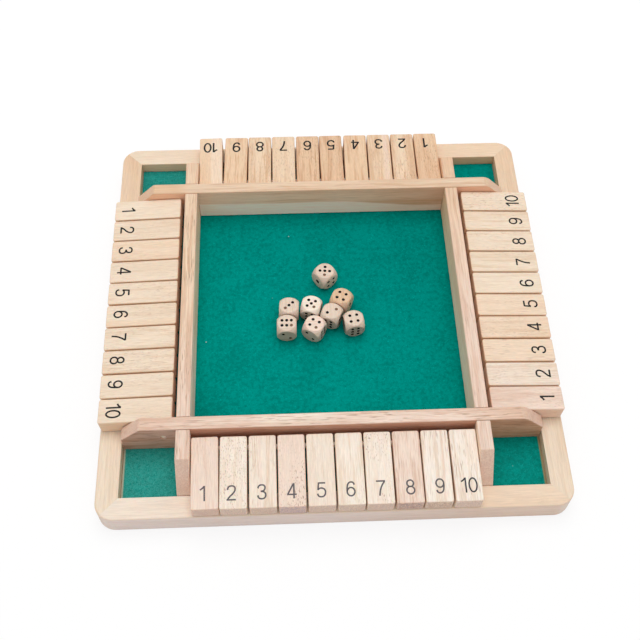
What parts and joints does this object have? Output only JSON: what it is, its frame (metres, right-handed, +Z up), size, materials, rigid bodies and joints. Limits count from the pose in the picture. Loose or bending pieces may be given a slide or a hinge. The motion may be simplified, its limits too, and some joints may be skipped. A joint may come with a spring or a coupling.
{
  "type": "shut the box game",
  "caption": "Square wooden shut the box board with a felt dice tray, a row of hinged number tiles along each side, and dice.",
  "frame": {"origin": "on the table, under the middle of the board", "axes": "+Z up out of the tray; -Y towards the front row of tiles, +X towards the right row"},
  "size_m": [0.3, 0.3, 0.0364],
  "materials": {
    "rail_wood": "pale close-grained hardwood, sanded and clear sealed, satin",
    "wall_wood": "pale close-grained hardwood with fine grain streaks, sanded, satin",
    "tile_wood": "pale close-grained hardwood, varied from tile to tile, eased edges, dark printed numbers, satin",
    "rod_wood": "pinkish hardwood dowel, plain",
    "die_wood": "pale hardwood, tumbled smooth, drilled pips painted black",
    "board_wood": "thin plywood, unfinished",
    "felt": "teal green felt, short nap, matte"
  },
  "bodies": {
    "board": {"frame": "rail_wood", "base_board": "board_wood", "felt": "felt", "front_wall": "wall_wood", "back_wall": "wall_wood", "left_wall": "wall_wood", "right_wall": "wall_wood", "front_rod": "rod_wood", "right_rod": "rod_wood", "back_rod": "rod_wood", "left_rod": "rod_wood"},
    "front_tile_1": {"front_tile_1": "tile_wood"},
    "front_tile_2": {"front_tile_2": "tile_wood"},
    "front_tile_3": {"front_tile_3": "tile_wood"},
    "front_tile_4": {"front_tile_4": "tile_wood"},
    "front_tile_5": {"front_tile_5": "tile_wood"},
    "front_tile_6": {"front_tile_6": "tile_wood"},
    "front_tile_7": {"front_tile_7": "tile_wood"},
    "front_tile_8": {"front_tile_8": "tile_wood"},
    "front_tile_9": {"front_tile_9": "tile_wood"},
    "front_tile_10": {"front_tile_10": "tile_wood"},
    "right_tile_1": {"right_tile_1": "tile_wood"},
    "right_tile_2": {"right_tile_2": "tile_wood"},
    "right_tile_3": {"right_tile_3": "tile_wood"},
    "right_tile_4": {"right_tile_4": "tile_wood"},
    "right_tile_5": {"right_tile_5": "tile_wood"},
    "right_tile_6": {"right_tile_6": "tile_wood"},
    "right_tile_7": {"right_tile_7": "tile_wood"},
    "right_tile_8": {"right_tile_8": "tile_wood"},
    "right_tile_9": {"right_tile_9": "tile_wood"},
    "right_tile_10": {"right_tile_10": "tile_wood"},
    "back_tile_1": {"back_tile_1": "tile_wood"},
    "back_tile_2": {"back_tile_2": "tile_wood"},
    "back_tile_3": {"back_tile_3": "tile_wood"},
    "back_tile_4": {"back_tile_4": "tile_wood"},
    "back_tile_5": {"back_tile_5": "tile_wood"},
    "back_tile_6": {"back_tile_6": "tile_wood"},
    "back_tile_7": {"back_tile_7": "tile_wood"},
    "back_tile_8": {"back_tile_8": "tile_wood"},
    "back_tile_9": {"back_tile_9": "tile_wood"},
    "back_tile_10": {"back_tile_10": "tile_wood"},
    "left_tile_1": {"left_tile_1": "tile_wood"},
    "left_tile_2": {"left_tile_2": "tile_wood"},
    "left_tile_3": {"left_tile_3": "tile_wood"},
    "left_tile_4": {"left_tile_4": "tile_wood"},
    "left_tile_5": {"left_tile_5": "tile_wood"},
    "left_tile_6": {"left_tile_6": "tile_wood"},
    "left_tile_7": {"left_tile_7": "tile_wood"},
    "left_tile_8": {"left_tile_8": "tile_wood"},
    "left_tile_9": {"left_tile_9": "tile_wood"},
    "left_tile_10": {"left_tile_10": "tile_wood"},
    "die_1": {"die_1": "die_wood"},
    "die_2": {"die_2": "die_wood"},
    "die_3": {"die_3": "die_wood"},
    "die_4": {"die_4": "die_wood"},
    "die_5": {"die_5": "die_wood"},
    "die_6": {"die_6": "die_wood"},
    "die_7": {"die_7": "die_wood"},
    "die_8": {"die_8": "die_wood"}
  },
  "joints": [
    {"name": "front_tile_1_hinge", "type": "hinge", "parent": "board", "child": "front_tile_1", "pos_m": [-0.08127, -0.1079, 0.0254], "axis": [-1, 0, 0], "range_deg": [0, 107]},
    {"name": "front_tile_2_hinge", "type": "hinge", "parent": "board", "child": "front_tile_2", "pos_m": [-0.06321, -0.1079, 0.0254], "axis": [-1, 0, 0], "range_deg": [0, 107]},
    {"name": "front_tile_3_hinge", "type": "hinge", "parent": "board", "child": "front_tile_3", "pos_m": [-0.04515, -0.1079, 0.0254], "axis": [-1, 0, 0], "range_deg": [0, 107]},
    {"name": "front_tile_4_hinge", "type": "hinge", "parent": "board", "child": "front_tile_4", "pos_m": [-0.02709, -0.1079, 0.0254], "axis": [-1, 0, 0], "range_deg": [0, 107]},
    {"name": "front_tile_5_hinge", "type": "hinge", "parent": "board", "child": "front_tile_5", "pos_m": [-0.00903, -0.1079, 0.0254], "axis": [-1, 0, 0], "range_deg": [0, 107]},
    {"name": "front_tile_6_hinge", "type": "hinge", "parent": "board", "child": "front_tile_6", "pos_m": [0.00903, -0.1079, 0.0254], "axis": [-1, 0, 0], "range_deg": [0, 107]},
    {"name": "front_tile_7_hinge", "type": "hinge", "parent": "board", "child": "front_tile_7", "pos_m": [0.02709, -0.1079, 0.0254], "axis": [-1, 0, 0], "range_deg": [0, 107]},
    {"name": "front_tile_8_hinge", "type": "hinge", "parent": "board", "child": "front_tile_8", "pos_m": [0.04515, -0.1079, 0.0254], "axis": [-1, 0, 0], "range_deg": [0, 107]},
    {"name": "front_tile_9_hinge", "type": "hinge", "parent": "board", "child": "front_tile_9", "pos_m": [0.06321, -0.1079, 0.0254], "axis": [-1, 0, 0], "range_deg": [0, 107]},
    {"name": "front_tile_10_hinge", "type": "hinge", "parent": "board", "child": "front_tile_10", "pos_m": [0.08127, -0.1079, 0.0254], "axis": [-1, 0, 0], "range_deg": [0, 107]},
    {"name": "right_tile_1_hinge", "type": "hinge", "parent": "board", "child": "right_tile_1", "pos_m": [0.1079, -0.08127, 0.0254], "axis": [0, -1, 0], "range_deg": [0, 107.25]},
    {"name": "right_tile_2_hinge", "type": "hinge", "parent": "board", "child": "right_tile_2", "pos_m": [0.1079, -0.06321, 0.0254], "axis": [0, -1, 0], "range_deg": [0, 107.25]},
    {"name": "right_tile_3_hinge", "type": "hinge", "parent": "board", "child": "right_tile_3", "pos_m": [0.1079, -0.04515, 0.0254], "axis": [0, -1, 0], "range_deg": [0, 107.25]},
    {"name": "right_tile_4_hinge", "type": "hinge", "parent": "board", "child": "right_tile_4", "pos_m": [0.1079, -0.02709, 0.0254], "axis": [0, -1, 0], "range_deg": [0, 107.25]},
    {"name": "right_tile_5_hinge", "type": "hinge", "parent": "board", "child": "right_tile_5", "pos_m": [0.1079, -0.00903, 0.0254], "axis": [0, -1, 0], "range_deg": [0, 107.25]},
    {"name": "right_tile_6_hinge", "type": "hinge", "parent": "board", "child": "right_tile_6", "pos_m": [0.1079, 0.00903, 0.0254], "axis": [0, -1, 0], "range_deg": [0, 107.25]},
    {"name": "right_tile_7_hinge", "type": "hinge", "parent": "board", "child": "right_tile_7", "pos_m": [0.1079, 0.02709, 0.0254], "axis": [0, -1, 0], "range_deg": [0, 107.25]},
    {"name": "right_tile_8_hinge", "type": "hinge", "parent": "board", "child": "right_tile_8", "pos_m": [0.1079, 0.04515, 0.0254], "axis": [0, -1, 0], "range_deg": [0, 107.25]},
    {"name": "right_tile_9_hinge", "type": "hinge", "parent": "board", "child": "right_tile_9", "pos_m": [0.1079, 0.06321, 0.0254], "axis": [0, -1, 0], "range_deg": [0, 107.25]},
    {"name": "right_tile_10_hinge", "type": "hinge", "parent": "board", "child": "right_tile_10", "pos_m": [0.1079, 0.08127, 0.0254], "axis": [0, -1, 0], "range_deg": [0, 107.25]},
    {"name": "back_tile_1_hinge", "type": "hinge", "parent": "board", "child": "back_tile_1", "pos_m": [0.08127, 0.1079, 0.0254], "axis": [1, 0, 0], "range_deg": [0, 107]},
    {"name": "back_tile_2_hinge", "type": "hinge", "parent": "board", "child": "back_tile_2", "pos_m": [0.06321, 0.1079, 0.0254], "axis": [1, 0, 0], "range_deg": [0, 107]},
    {"name": "back_tile_3_hinge", "type": "hinge", "parent": "board", "child": "back_tile_3", "pos_m": [0.04515, 0.1079, 0.0254], "axis": [1, 0, 0], "range_deg": [0, 107]},
    {"name": "back_tile_4_hinge", "type": "hinge", "parent": "board", "child": "back_tile_4", "pos_m": [0.02709, 0.1079, 0.0254], "axis": [1, 0, 0], "range_deg": [0, 107]},
    {"name": "back_tile_5_hinge", "type": "hinge", "parent": "board", "child": "back_tile_5", "pos_m": [0.00903, 0.1079, 0.0254], "axis": [1, 0, 0], "range_deg": [0, 107]},
    {"name": "back_tile_6_hinge", "type": "hinge", "parent": "board", "child": "back_tile_6", "pos_m": [-0.00903, 0.1079, 0.0254], "axis": [1, 0, 0], "range_deg": [0, 107]},
    {"name": "back_tile_7_hinge", "type": "hinge", "parent": "board", "child": "back_tile_7", "pos_m": [-0.02709, 0.1079, 0.0254], "axis": [1, 0, 0], "range_deg": [0, 107]},
    {"name": "back_tile_8_hinge", "type": "hinge", "parent": "board", "child": "back_tile_8", "pos_m": [-0.04515, 0.1079, 0.0254], "axis": [1, 0, 0], "range_deg": [0, 107]},
    {"name": "back_tile_9_hinge", "type": "hinge", "parent": "board", "child": "back_tile_9", "pos_m": [-0.06321, 0.1079, 0.0254], "axis": [1, 0, 0], "range_deg": [0, 107]},
    {"name": "back_tile_10_hinge", "type": "hinge", "parent": "board", "child": "back_tile_10", "pos_m": [-0.08127, 0.1079, 0.0254], "axis": [1, 0, 0], "range_deg": [0, 107]},
    {"name": "left_tile_1_hinge", "type": "hinge", "parent": "board", "child": "left_tile_1", "pos_m": [-0.1079, 0.08127, 0.0254], "axis": [0, 1, 0], "range_deg": [0, 107.25]},
    {"name": "left_tile_2_hinge", "type": "hinge", "parent": "board", "child": "left_tile_2", "pos_m": [-0.1079, 0.06321, 0.0254], "axis": [0, 1, 0], "range_deg": [0, 107.25]},
    {"name": "left_tile_3_hinge", "type": "hinge", "parent": "board", "child": "left_tile_3", "pos_m": [-0.1079, 0.04515, 0.0254], "axis": [0, 1, 0], "range_deg": [0, 107.25]},
    {"name": "left_tile_4_hinge", "type": "hinge", "parent": "board", "child": "left_tile_4", "pos_m": [-0.1079, 0.02709, 0.0254], "axis": [0, 1, 0], "range_deg": [0, 107.25]},
    {"name": "left_tile_5_hinge", "type": "hinge", "parent": "board", "child": "left_tile_5", "pos_m": [-0.1079, 0.00903, 0.0254], "axis": [0, 1, 0], "range_deg": [0, 107.25]},
    {"name": "left_tile_6_hinge", "type": "hinge", "parent": "board", "child": "left_tile_6", "pos_m": [-0.1079, -0.00903, 0.0254], "axis": [0, 1, 0], "range_deg": [0, 107.25]},
    {"name": "left_tile_7_hinge", "type": "hinge", "parent": "board", "child": "left_tile_7", "pos_m": [-0.1079, -0.02709, 0.0254], "axis": [0, 1, 0], "range_deg": [0, 107.25]},
    {"name": "left_tile_8_hinge", "type": "hinge", "parent": "board", "child": "left_tile_8", "pos_m": [-0.1079, -0.04515, 0.0254], "axis": [0, 1, 0], "range_deg": [0, 107.25]},
    {"name": "left_tile_9_hinge", "type": "hinge", "parent": "board", "child": "left_tile_9", "pos_m": [-0.1079, -0.06321, 0.0254], "axis": [0, 1, 0], "range_deg": [0, 107.25]},
    {"name": "left_tile_10_hinge", "type": "hinge", "parent": "board", "child": "left_tile_10", "pos_m": [-0.1079, -0.08127, 0.0254], "axis": [0, 1, 0], "range_deg": [0, 107.25]},
    {"name": "die_1_lift", "type": "slide", "parent": "board", "child": "die_1", "axis": [0, 0, 1], "range_m": [0, 0.06]},
    {"name": "die_2_lift", "type": "slide", "parent": "board", "child": "die_2", "axis": [0, 0, 1], "range_m": [0, 0.06]},
    {"name": "die_3_lift", "type": "slide", "parent": "board", "child": "die_3", "axis": [0, 0, 1], "range_m": [0, 0.06]},
    {"name": "die_4_lift", "type": "slide", "parent": "board", "child": "die_4", "axis": [0, 0, 1], "range_m": [0, 0.06]},
    {"name": "die_5_lift", "type": "slide", "parent": "board", "child": "die_5", "axis": [0, 0, 1], "range_m": [0, 0.06]},
    {"name": "die_6_lift", "type": "slide", "parent": "board", "child": "die_6", "axis": [0, 0, 1], "range_m": [0, 0.06]},
    {"name": "die_7_lift", "type": "slide", "parent": "board", "child": "die_7", "axis": [0, 0, 1], "range_m": [0, 0.06]},
    {"name": "die_8_lift", "type": "slide", "parent": "board", "child": "die_8", "axis": [0, 0, 1], "range_m": [0, 0.06]}
  ]
}
